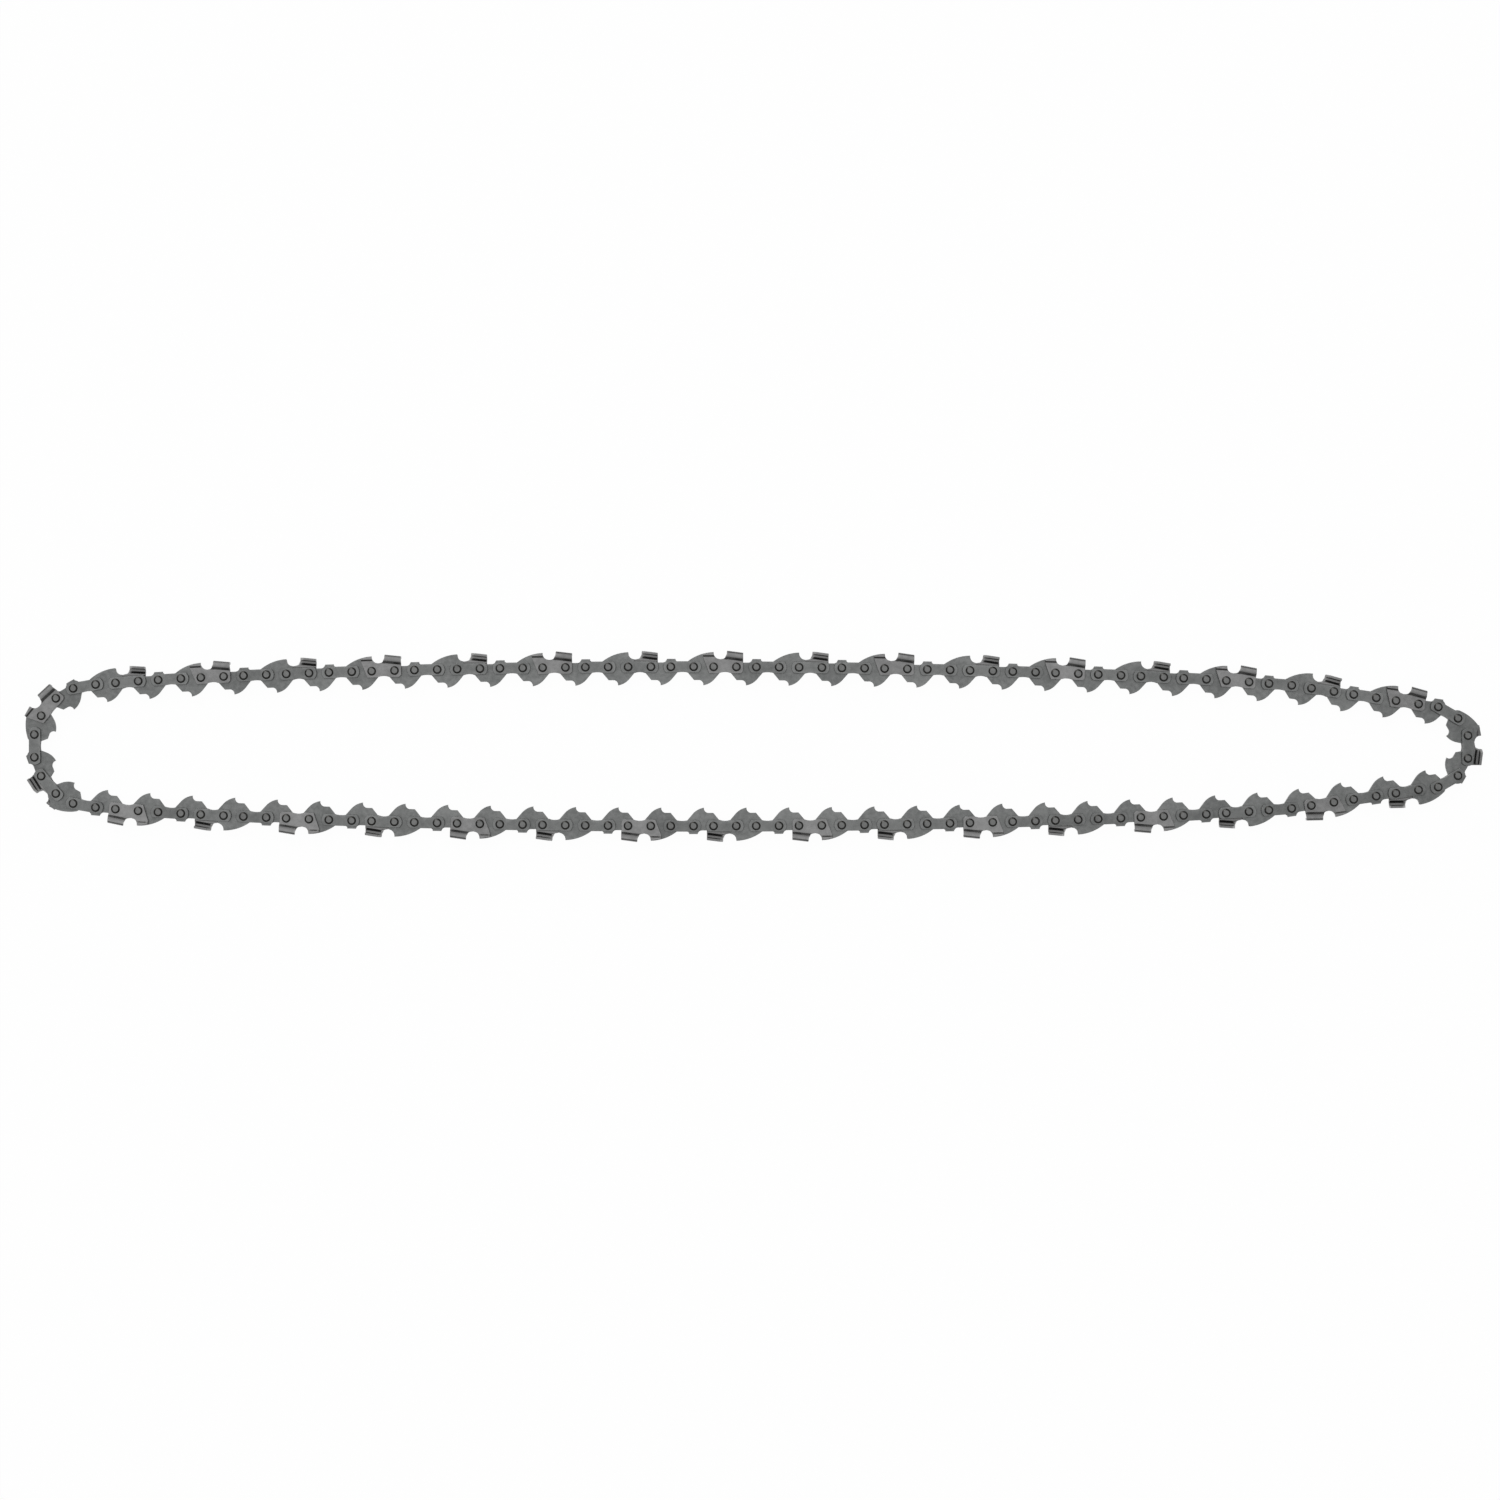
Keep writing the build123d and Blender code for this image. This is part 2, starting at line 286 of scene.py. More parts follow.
def circle_through(start: Point, middle: Point, end: Point) -> tuple[Array, float, Array]:
    """Circle through three points: its middle c solves 2 (p - start) . c = |p|^2 - |start|^2.

    Args:
        start, middle, end: points of an arc in order.

    Returns:
        Middle and radius of the circle, and the angles of the three points, in order on the arc.
    """
    points = np.array([start, middle, end])
    squares = (points**2).sum(1)
    centre = np.linalg.solve(2 * (points[1:] - points[0]), squares[1:] - squares[0])
    x, y = (points - centre).T
    angles = np.arctan2(y, x)
    turns = (angles - angles[0]) % (2 * pi)
    turns[1:] -= 2 * pi * (turns[1] > turns[2])
    return centre, hypot(x[0], y[0]), angles[0] + turns


def circle_points(centre: Point, radius: float, first: float, last: float, count: int) -> Array:
    """Points evenly spaced on a circle between two angles, without the last one."""
    turn = np.linspace(first, last, count, endpoint=False)
    return centre + radius * np.stack([np.cos(turn), np.sin(turn)], 1)


def arc(start: Point, middle: Point, end: Point, count: int) -> Array:
    """The arc through three points in count chords, without its last point."""
    centre, radius, turns = circle_through(start, middle, end)
    return circle_points(centre, radius, turns[0], turns[2], count)


def split_arc(start: Point, middle: Point, end: Point, count: int) -> list[Array]:
    """The same arc in two stretches that meet at its middle point, with count chords each."""
    centre, radius, turns = circle_through(start, middle, end)
    return [circle_points(centre, radius, *turns[k:k + 2], count) for k in range(2)]


def bowed(start: Point, end: Point, bulge: float, count: int) -> Array:
    """Arc between two points, bowed out to one side.

    Args:
        start, end: its ends.
        bulge: how far its middle lies to the right of the straight line.
        count: number of chords.

    Returns:
        Array of count rows (x, y), without the last point.
    """
    first, last = np.array([start, end])
    dx, dy = last - first
    middle = (first + last) / 2 + bulge * np.array([dy, -dx]) / hypot(dx, dy)
    return arc(first, middle, last, count)


def inset(outline: Array, depth: float, shortest: float = 0.5) -> Array:
    """Clockwise outline moved inwards by depth, each corner along its mitre.

    Args:
        outline: rows (x, y).
        depth: distance in millimetres.
        shortest: least divisor of a mitre, which keeps a sharp corner from moving too far.

    Returns:
        Array of the same shape.
    """
    edge = np.roll(outline, -1, 0) - outline
    edge /= np.linalg.norm(edge, axis=1)[:, None]
    after = np.stack([edge[:, 1], -edge[:, 0]], 1)
    before = np.roll(after, 1, 0)
    spread = 1 + (after * before).sum(1)
    return outline + depth * (after + before) / np.maximum(spread, shortest)[:, None]


# Surfaces


def placed(name: str, data: ID) -> Object:
    """New object in the scene, at the origin, for a mesh, lamp or camera."""
    made = bpy.data.objects.new(name, data)
    bpy.context.scene.collection.objects.link(made)
    return made


@dataclass
class Skin:
    """A surface in a link's own frame, in millimetres: x to the rear rivet, y outwards, z near.

    Attributes:
        points: rows (x, y, z).
        quads: rows of four point numbers.
        caps: flat faces with any number of corners.
        marks: one array per mark, with a value for each point.
    """

    points: Array
    quads: Array
    caps: list[Array] = field(default_factory=list)
    marks: dict[Mark, Array] = field(default_factory=dict)

    def flipped(self) -> "Skin":
        """The mirror image on the other side of the chain, with its faces still outwards."""
        return Skin(self.points * [1, 1, -1], self.quads[:, ::-1], [c[::-1] for c in self.caps], self.marks)

    def along(self, fronts: Array, rears: Array, tones: Array) -> "Skin":
        """Copies laid from front rivets to rear rivets: front + x * along + y * across, z kept.

        Args:
            fronts, rears: rows (x, y), one for each copy.
            tones: shade of each copy, from 0 to 1.

        Returns:
            All the copies as one surface.
        """
        ahead = (rears - fronts) / np.linalg.norm(rears - fronts, axis=1)[:, None]
        across = np.stack([-ahead[:, 1], ahead[:, 0]], 1)
        x, y = self.points[None, :, :1], self.points[None, :, 1:2]
        flat = fronts[:, None] + x * ahead[:, None] + y * across[:, None]
        high = np.broadcast_to(self.points[None, :, 2:], (*flat.shape[:2], 1))
        starts = np.arange(len(fronts)) * len(self.points)
        marks = {mark: np.tile(values, len(fronts)) for mark, values in self.marks.items()}
        marks[Mark.TONE] = np.repeat(tones, len(self.points))
        return Skin(
            np.concatenate([flat, high], 2).reshape(-1, 3),
            (self.quads[None] + starts[:, None, None]).reshape(-1, 4),
            [cap + start for start in starts for cap in self.caps],
            marks,
        )

    @staticmethod
    def joined(skins: list["Skin"]) -> "Skin":
        """Several surfaces with the same marks as one."""
        starts = np.cumsum([0] + [len(s.points) for s in skins[:-1]])
        return Skin(
            np.vstack([s.points for s in skins]),
            np.vstack([s.quads + start for s, start in zip(skins, starts)]),
            [cap + start for s, start in zip(skins, starts) for cap in s.caps],
            {mark: np.concatenate([s.marks[mark] for s in skins]) for mark in skins[0].marks},
        )

    def make(self, name: str, height: float, crease: float) -> Object:
        """Object with this surface as its mesh.

        Args:
            name: name of the object and its mesh.
            height: height of the chain's middle, in millimetres.
            crease: angle in degrees over which an edge is drawn sharp.

        Returns:
            The object, linked to the scene.
        """
        mesh = bpy.data.meshes.new(name)
        faces = self.quads.tolist() + [cap.tolist() for cap in self.caps]
        mesh.from_pydata((self.points + [0, 0, height]) * MM, [], faces)
        for mark, values in self.marks.items():
            attribute = mesh.attributes.new(mark.value, "FLOAT", "POINT")
            attribute.data.foreach_set("value", values.astype(np.float32))
        mesh.polygons.foreach_set("use_smooth", np.ones(len(faces), bool))
        mesh.set_sharp_from_angle(angle=radians(crease))
        mesh.validate()
        return placed(name, mesh)


def rings_to_quads(rings: Array) -> Array:
    """Quads between closed rings of point numbers, one row for each ring, faces to the left."""
    low, high = rings[:-1], rings[1:]
    corners = [low, high, np.roll(high, -1, 1), np.roll(low, -1, 1)]
    return np.stack(corners, 2).reshape(-1, 4)


def rivet_film(points: Array, spacing: float) -> Array:
    """Oil round two rivets: 1 up to a head's edge, falling to 0 over another head's radius."""
    gaps = np.linalg.norm(points[:, None, :2] - [[0, 0], [spacing, 0]], axis=2).min(1)
    return np.clip(1 - (gaps - SIZES.head_radius) / SIZES.head_radius, 0, 1)


@dataclass(frozen=True)
class PlateForm:
    """A stamped plate with two rivet holes and a broken edge.

    Attributes:
        upper: outline over the rivet line, from the front end to the rear end, without the latter.
        lower: outline under the rivet line, from the rear end back to the front.
        spacing, hole_radius: distance and radius of the holes.
        low, high: heights of the two faces.
        edge: width of the broken edge.
    """

    upper: Array
    lower: Array
    spacing: float
    hole_radius: float
    low: float
    high: float
    edge: float

    def skin(self) -> Skin:
        """The plate's surface: the outline carried over the edge's profile, and two flat faces.

        The profile goes from the lower face, inset by the edge's width, up the rim to the upper
        face. Each face is two polygons that meet at the rivet line, so the holes stay open.

        Returns:
            The closed surface.
        """
        outline = np.vstack([self.upper, self.lower])
        edge, count = self.edge, len(outline)
        profile = [(edge, self.low), (0, self.low + edge), (0, self.high - edge), (edge, self.high)]
        rim = [np.column_stack([inset(outline, depth), np.full(count, z)]) for depth, z in profile]
        holes = []
        for x in (0, self.spacing):
            circle = circle_points((x, 0), self.hole_radius, 0, 2 * pi, CHORDS.hole)
            holes += [np.column_stack([circle, np.full(CHORDS.hole, z)]) for z in (self.low, self.high)]
        rings = np.arange(len(profile) * count).reshape(-1, count)
        hole_rings = rings.size + np.arange(len(holes) * CHORDS.hole).reshape(2, 2, -1)
        quads = [rings_to_quads(rings)] + [rings_to_quads(pair) for pair in hole_rings]
        caps = [self._face(rings[-1], hole_rings[:, 1], over)[::-1] for over in (True, False)]
        caps += [self._face(rings[0], hole_rings[:, 0], over) for over in (True, False)]
        points = np.vstack(rim + holes)
        wear = np.zeros(len(points))
        wear[rings[1:-1]] = 1
        grime = rivet_film(points, self.spacing)
        return Skin(points, np.vstack(quads), caps, {Mark.WEAR: wear, Mark.GRIME: grime})

    def _face(self, ring: Array, holes: Array, over: bool) -> Array:
        """Clockwise corners of the part of a face over or under the rivet line.

        Args:
            ring: point numbers of the outline, from the front end.
            holes: point numbers of the front hole and the rear hole, anticlockwise from the rear.
            over: True for the part over the rivet line.

        Returns:
            Point numbers of the polygon.
        """
        front, rear = holes
        half, rear_end = holes.shape[1] // 2, len(self.upper)
        if over:
            return np.concatenate([ring[:rear_end + 1], rear[:half + 1], front[:half + 1]])
        around = [np.append(hole[half:], hole[0]) for hole in (front, rear)]
        return np.concatenate([ring[rear_end:], ring[:1], *around])


# Node kit


class Number:
    """A number socket of a material, on which arithmetic adds Math nodes."""

    def __init__(self, kit: "NodeKit", socket: NodeSocket) -> None:
        self.kit = kit
        self.socket = socket

    def _math(self, operation: str, first: "Number | float", second: "Number | float") -> "Number":
        """Result of a Math node on two values."""
        node = self.kit.node("ShaderNodeMath", {"operation": operation}, {0: first, 1: second})
        return Number(self.kit, node.outputs[0])

    def __add__(self, other: "Number | float") -> "Number":
        """Sum."""
        return self._math("ADD", self, other)

    __radd__ = __add__

    def __mul__(self, other: "Number | float") -> "Number":
        """Product."""
        return self._math("MULTIPLY", self, other)

    __rmul__ = __mul__

    def __sub__(self, other: "Number | float") -> "Number":
        """Difference."""
        return self._math("SUBTRACT", self, other)

    def __rsub__(self, other: "Number | float") -> "Number":
        """Difference, the other way round."""
        return self._math("SUBTRACT", other, self)

    def within(self, low: float, high: float) -> "Number":
        """The value held between two limits."""
        return self._math("MINIMUM", self._math("MAXIMUM", self, low), high)


class NodeKit:
    """Adds nodes to one material or world."""

    def __init__(self, owner: Material | World) -> None:
        """Takes an empty material or world."""
        self.owner = owner
        owner.use_nodes = True
        self.tree = owner.node_tree
        self.tree.nodes.clear()

    def node(self, kind: str, settings: dict[str, object], sockets: dict[object, object]) -> Node:
        """One node, its settings first, then the values or links of its sockets.

        Args:
            kind: type of the node.
            settings: properties of the node by name.
            sockets: values, numbers or sockets, by input name or place.

        Returns:
            The node.
        """
        made = self.tree.nodes.new(kind)
        for key, value in settings.items():
            setattr(made, key, value)
        for key, value in sockets.items():
            source = value.socket if isinstance(value, Number) else value
            if isinstance(source, NodeSocket):
                self.tree.links.new(source, made.inputs[key])
            else:
                made.inputs[key].default_value = source
        return made

    def mark(self, mark: Mark) -> Number:
        """A surface's own attribute."""
        node = self.node("ShaderNodeAttribute", {"attribute_name": mark.value}, {})
        return Number(self, node.outputs["Fac"])

    def noise(self, place: NodeSocket, scale: float, detail: float) -> Number:
        """Noise from 0 to 1 with so many bumps to the metre."""
        node = self.node("ShaderNodeTexNoise", {}, {"Vector": place, "Scale": scale, "Detail": detail})
        return Number(self, node.outputs["Fac"])


# Finishes, with the places of the colour sockets on a Mix node


MIX_FIRST, MIX_SECOND, MIX_RESULT = 6, 7, 2


@dataclass(frozen=True)
class SteelFinish:
    """A metal surface with cloudy tone, fine grain, bright worn edges, and dark oil and painted shade in its
    corners.

    Attributes:
        name: name of the material.
        dark, light: colours that the tone goes between.
        worn, dark_oil_and_shade: colours of rubbed edges, and of the oil and painted shade round the rivets
            and in the bends.
        metallic, roughness: constants of the shader, the latter before its grain.
        clouds, patches, grains: how many of each there are to the metre.
        cloud_detail, fine_detail: layers of noise in the clouds, and in the patches and grains.
        tone_shares: shares of clouds, patches, grains and the link's own shade in the tone.
        wear_share: how strongly worn edges show.
        oil_and_shade_strength, oil_and_shade_shares: how strongly the oil and painted shade show, and their
        even and patchy shares.
        grain_roughness, cloud_roughness, oil_and_shade_gloss: how far each moves the roughness.
        smoothest: least roughness.
        relief, relief_strength: depth of the grain in millimetres, and how strongly it shows.
    """

    name: str
    dark: Triple
    light: Triple
    worn: Triple
    # colour of the oil, and of the painted shade in bends, corners and hollows
    dark_oil_and_shade: Triple = (0.035, 0.034, 0.032)
    metallic: float = 0.9
    roughness: float = 0.34
    clouds: float = 90.0
    patches: float = 540.0
    grains: float = 2600.0
    cloud_detail: float = 3.0
    fine_detail: float = 2.0
    tone_shares: tuple[float, float, float, float] = (1.4, 1.6, 1.0, 0.4)
    wear_share: float = 0.6
    oil_and_shade_strength: float = 0.15
    oil_and_shade_shares: Pair = (0.4, 1.2)
    grain_roughness: float = 0.25
    cloud_roughness: float = 0.2
    oil_and_shade_gloss: float = 0.1
    smoothest: float = 0.1
    relief: float = 0.012
    relief_strength: float = 0.5

    def material(self) -> Material:
        """The finish as a material.

        The tone is half plus shares of clouds, patches, grains and the link's own shade. Worn edges
        are mixed over it, then oil and painted shade by their mark times the patches. Grains also set
        roughness and relief.

        Returns:
            The new material.
        """
        kit = NodeKit(bpy.data.materials.new(self.name))
        place = kit.node("ShaderNodeTexCoord", {}, {}).outputs["Object"]
        cloud = kit.noise(place, self.clouds, self.cloud_detail)
        grain = kit.noise(place, self.grains, self.fine_detail)
        patch = kit.noise(place, self.patches, self.fine_detail)
        shades = zip((cloud, patch, grain, kit.mark(Mark.TONE)), self.tone_shares)
        tone = 0.5 + sum((value - 0.5) * share for value, share in shades)
        plain = self._mix(kit, tone.within(0, 1), (*self.dark, 1), (*self.light, 1))
        worn = (kit.mark(Mark.WEAR) * patch * self.wear_share).within(0, 1)
        rubbed = self._mix(kit, worn, plain, (*self.worn, 1))
        even, patchy = self.oil_and_shade_shares
        # dark mix by the mark: oil round the rivets, and painted shade where the mark is raised
        oil_and_shade_film = (kit.mark(Mark.GRIME) * (even + patchy * patch) * self.oil_and_shade_strength).within(0, 1)
        colour = self._mix(kit, oil_and_shade_film, rubbed, (*self.dark_oil_and_shade, 1))
        uneven = (grain - 0.5) * self.grain_roughness + (cloud - 0.5) * self.cloud_roughness
        rough = (self.roughness + uneven - oil_and_shade_film * self.oil_and_shade_gloss).within(self.smoothest, 1)
        relief = {"Strength": self.relief_strength, "Distance": self.relief * MM, "Height": grain}
        bump = kit.node("ShaderNodeBump", {}, relief)
        shader = kit.node(
            "ShaderNodeBsdfPrincipled",
            {},
            {"Base Color": colour, "Metallic": self.metallic, "Roughness": rough, "Normal": bump.outputs[0]},
        )
        kit.node("ShaderNodeOutputMaterial", {}, {"Surface": shader.outputs[0]})
        return kit.owner

    def _mix(self, kit: NodeKit, share: Number, first: object, second: object) -> NodeSocket:
        """Triple between two colours."""
        sockets = {"Factor": share, MIX_FIRST: first, MIX_SECOND: second}
        return kit.node("ShaderNodeMix", {"data_type": "RGBA"}, sockets).outputs[MIX_RESULT]


DRIVE_STEEL = SteelFinish(
    "drive_link_steel",
    dark=(0.125, 0.129, 0.128),
    light=(0.205, 0.210, 0.208),
    worn=(0.30, 0.30, 0.29),
)
STRAP_STEEL = SteelFinish(
    "strap_steel",
    dark=(0.13, 0.134, 0.133),
    light=(0.21, 0.215, 0.213),
    worn=(0.33, 0.33, 0.32),
)
CHROME = SteelFinish(
    "cutter_chrome",
    dark=(0.168, 0.168, 0.168),
    light=(0.246, 0.246, 0.246),
    worn=(0.46, 0.46, 0.45),
    metallic=0.95,
    roughness=0.30,
)
RIVET_STEEL = SteelFinish(
    "rivet_steel",
    dark=(0.125, 0.128, 0.126),
    light=(0.19, 0.194, 0.19),
    worn=(0.20, 0.20, 0.20),
    roughness=0.36,
    # strong, so that the oil colour also paints the shade on the heads' rims and flanks
    oil_and_shade_strength=1.15,
)


# Kinds of link


@dataclass
class LinkKind(ABC):
    """One kind of piece that repeats round the loop.

    Attributes:
        name: name of its solids after the run's name.
        slot: material slot of the record; not used.
        finish: its metal.
        crease: angle in degrees over which its edges are drawn sharp.
        material: the finish's material, once it is made.
    """

    name: str
    slot: str
    finish: SteelFinish
    crease: float = 50.0
    material: Material | None = None

    @abstractmethod
    def skin(self) -> Skin:
        """The surface of one piece in its link's frame."""

    @abstractmethod
    def laid(self, links: Array, rivets: Array) -> Skin:
        """The surface of all the pieces of this kind on some links.

        Args:
            links: link numbers of a run.
            rivets: rivet middles of the loop.

        Returns:
            One surface with every copy.
        """

    def copies(self, skin: Skin, links: Array, rivets: Array) -> Skin:
        """Copies of a surface on some links, from front rivet to rear rivet, each in its own shade."""
        rears = (links + 1) % len(rivets)
        tones = np.random.default_rng(links + TONE_SEED).random(len(links))
        return skin.along(rivets[links], rivets[rears], tones)

    def finished(self, made: Object) -> None:
        """Keeps the flat faces of a surface flat in its shading."""
        weighted = made.modifiers.new("even shading", "WEIGHTED_NORMAL")
        weighted.keep_sharp = True

    def dress(self, made: Object) -> None:
        """Gives a piece its metal, which the kind makes once."""
        self.material = self.material or self.finish.material()
        made.data.materials.append(self.material)


@dataclass
class DriveLink(LinkKind):
    """Centre link with a tang that rides in the bar's groove.

    Attributes:
        end_radius: radius of the ends round the rivets.
        shoulder_depth, shoulder_front, shoulder_length: the flat before the hook.
        tang_depth, tang_tip_back, hook_hollow, tang_belly: the tang's point, hook and curved back.
        bend_back, bend_depth, heel_back, heel_depth: the straight half of the back, from its foot up.
        scoop_height: height of the top between the rivets.
        bump_height, bump_front, bump_rear, bump_ramp: the bump over the rear rivet.
        ramp_rounding: the round foot of the bump, along each side of it.
        front_low_angle: where the front end leaves its circle, in degrees under the rivet line.
        edge: width of the broken edge.
        place: which links it is on.
    """

    end_radius: float = 3.60
    shoulder_depth: float = 5.72
    shoulder_front: float = 0.12
    shoulder_length: float = 2.45
    tang_depth: float = 8.00
    tang_tip_back: float = 4.22
    hook_hollow: float = 0.55
    tang_belly: float = 0.53
    bend_back: float = 0.50
    bend_depth: float = 5.15
    heel_back: float = 2.96
    heel_depth: float = 2.25
    scoop_height: float = 1.95
    bump_height: float = 3.53
    bump_front: float = 1.70
    bump_rear: float = 2.00
    bump_ramp: float = 0.80
    ramp_rounding: float = 1.00
    front_low_angle: float = 46.0
    edge: float = 0.13
    place: Place = Place.DRIVE

    def upper(self) -> tuple[Array, Point, Point]:
        """Top outline: a level scoop, an arc that touches it and the ramp, and the bump.

        Returns:
            The outline, its first point and its foot at the rear end.
        """
        rear, rounding = SIZES.drive_spacing, self.ramp_rounding
        start = (-sqrt(self.end_radius**2 - self.scoop_height**2), self.scoop_height)
        foot = (rear + self.bump_rear, sqrt(self.end_radius**2 - self.bump_rear**2))
        ramp_top = np.array([rear - self.bump_front, self.bump_height])
        ramp_foot = np.array([rear - self.bump_front - self.bump_ramp, self.scoop_height])
        steep = (ramp_top - ramp_foot) / np.linalg.norm(ramp_top - ramp_foot)
        before, after = ramp_foot - [rounding, 0], ramp_foot + rounding * steep
        middle = (before + after) / 2
        half = np.linalg.norm(after - middle)
        deepest = middle + (ramp_foot - middle) * half / (half + rounding)
        round_foot = arc(before, deepest, after, CHORDS.ramp)
        top = np.vstack([[start], round_foot, [after, ramp_top, (rear + self.bump_rear, self.bump_height)]])
        return top, start, foot

    def lower(self, heel: Point) -> tuple[Array, Point]:
        """Outline round the tang's back, point, hook and shoulder.

        Args:
            heel: its first point, at the rear end.

        Returns:
            The outline, and the point where the front end starts.
        """
        tip = (self.tang_tip_back, -self.tang_depth)
        hook = (self.shoulder_front + self.shoulder_length, -self.shoulder_depth)
        step = (self.shoulder_front, -self.shoulder_depth)
        angle = radians(self.front_low_angle)
        front = (-self.end_radius * cos(angle), -self.end_radius * sin(angle))
        bend = (SIZES.drive_spacing + self.bend_back, -self.bend_depth)
        back = bowed(bend, tip, -self.tang_belly, CHORDS.back)
        hollow = bowed(tip, hook, self.hook_hollow, CHORDS.hook)
        return np.vstack([[heel], back, hollow, [hook, step]]), front

    def skin(self) -> Skin:
        """The plate from its outline: two round ends, the top and the tang between them.

        Returns:
            The surface of one link.
        """
        rear, half = SIZES.drive_spacing, SIZES.gauge / 2
        top, start, foot = self.upper()
        heel = (rear + self.heel_back, -self.heel_depth)
        under, front = self.lower(heel)
        rear_over, rear_under = split_arc(foot, (rear + self.end_radius, 0), heel, CHORDS.end)
        front_under, front_over = split_arc(front, (-self.end_radius, 0), start, CHORDS.end)
        return PlateForm(
            np.vstack([front_over, top, rear_over]),
            np.vstack([rear_under, under, front_under]),
            rear,
            SIZES.hub_radius + SIZES.turning_clearance,
            -half,
            half,
            self.edge,
        ).skin()

    def laid(self, links: Array, rivets: Array) -> Skin:
        """Copies on the links that have its place."""
        return self.copies(self.skin(), self.place.among(links), rivets)


@dataclass
class BumperDriveLink(DriveLink):
    """Drive link whose fin rises to the gullet of the cutter behind it.

    Attributes:
        fin_height, fin_front, fin_bulge: top, front and belly of the fin.
        wall_angle, foot_angle: where the gullet passes and leaves the link, in degrees.
    """

    fin_height: float = 6.50
    fin_front: float = 2.60
    fin_bulge: float = 0.95
    wall_angle: float = 220.0
    foot_angle: float = 257.0
    place: Place = Place.BUMPER

    def upper(self) -> tuple[Array, Point, Point]:
        """Top outline: the fin's bow, then the gullet.

        Returns:
            The outline, its first point and its foot at the rear end.
        """
        start = (-self.fin_front, sqrt(self.end_radius**2 - self.fin_front**2))
        middle, radius = SIZES.drive_spacing + SIZES.gullet_back, SIZES.gullet_radius
        reach = sqrt(radius**2 - (self.fin_height - SIZES.gullet_height) ** 2)
        peak = (middle - reach, self.fin_height)
        wall, foot = (
            (middle + radius * cos(radians(a)), SIZES.gullet_height + radius * sin(radians(a)))
            for a in (self.wall_angle, self.foot_angle)
        )
        bow = bowed(start, peak, -self.fin_bulge, CHORDS.fin)
        return np.vstack([bow, arc(peak, wall, foot, CHORDS.gullet)]), start, foot


@dataclass
class TieStrap(LinkKind):
    """Flat side plate with round ends and a hollow under its middle.

    Attributes:
        end_radius, height, depth: the ends, and the top and bottom over and under the rivets.
        arch_depth, arch_length: the hollow under the middle.
        edge: width of the broken edge.
    """

    end_radius: float = 3.30
    height: float = 2.45
    depth: float = 2.57
    arch_depth: float = 0.40
    arch_length: float = 5.60
    edge: float = 0.12

    def skin(self) -> Skin:
        """The near plate from its outline: two round ends, a straight top and an arched bottom.

        Returns:
            The surface of one strap.
        """
        rear, radius = SIZES.side_spacing, self.end_radius
        over, under = (sqrt(radius**2 - y**2) for y in (self.height, self.depth))
        front_top, rear_top = (-over, self.height), (rear + over, self.height)
        front_low, rear_low = (-under, -self.depth), (rear + under, -self.depth)
        rear_over, rear_under = split_arc(rear_top, (rear + radius, 0), rear_low, CHORDS.end)
        front_under, front_over = split_arc(front_low, (-radius, 0), front_top, CHORDS.end)
        arch_front, arch_rear = (((rear + k * self.arch_length) / 2, -self.depth) for k in (-1, 1))
        hollow = arc(arch_rear, (rear / 2, self.arch_depth - self.depth), arch_front, CHORDS.arch)
        return PlateForm(
            np.vstack([front_over, [front_top], rear_over]),
            np.vstack([rear_under, [rear_low], hollow, [arch_front], front_under]),
            rear,
            SIZES.hub_radius + SIZES.fixed_clearance,
            SIZES.plate_inner,
            SIZES.plate_outer,
            self.edge,
        ).skin()

    def laid(self, links: Array, rivets: Array) -> Skin:
        """Pairs on plain side links, and one strap across from each cutter.

        Args:
            links: link numbers of a run.
            rivets: rivet middles of the loop.

        Returns:
            One surface with every strap.
        """
        near = self.skin()
        pairs, singles = Place.STRAPS.among(links), Place.CUTTER.among(links)
        on_near = np.array([cutter_side(n, len(rivets)) is Side.FAR for n in singles], bool)
        return Skin.joined([
            self.copies(near, np.concatenate([pairs, singles[on_near]]), rivets),
            self.copies(near.flipped(), np.concatenate([pairs, singles[~on_near]]), rivets),
        ])


def cutter_side(link: int, count: int) -> Side:
    """Side that a link's cutter lies on: they alternate, and start again at the right end."""
    odd = (link // len(Place)) % 2 == 1
    return Side.NEAR if odd != (link < count // 2) else Side.FAR


@dataclass
class Sheet:
    """Half of a cutter's bent sheet as a grid: rows from the bottom edge up, columns to the rear.

    Attributes:
        faces: points of the outer and the inner face, by rows, columns and (x, y, z).
        ground: 1 for each row whose front end is ground bright.
        oil_and_shade_film, inner_painted_shadow: painted shade along each row on both faces, and a painted
            contact shadow on the inner face alone.
    """

    faces: Array
    ground: Array
    oil_and_shade_film: Array
    inner_painted_shadow: Array

    def points(self) -> Array:
        """Points of the outer and the inner face, as two lists."""
        return self.faces.reshape(2, -1, 3)

    def quads(self) -> Array:
        """Point numbers of the grid's faces, four to a row."""
        shape = self.faces.shape[1:3]
        numbers = np.arange(shape[0] * shape[1]).reshape(shape)
        corners = [numbers[:-1, :-1], numbers[:-1, 1:], numbers[1:, 1:], numbers[1:, :-1]]
        return np.stack(corners, 2).reshape(-1, 4)

    def marks(self) -> Array:
        """Wear, painted shade and painted contact shadow at each point, as three lists."""
        wear = np.zeros(self.faces.shape[1:3])
        wear[:, 0] = self.ground
        return np.stack(np.broadcast_arrays(wear, self.oil_and_shade_film[:, None], self.inner_painted_shadow[:, None])).reshape(3, -1)


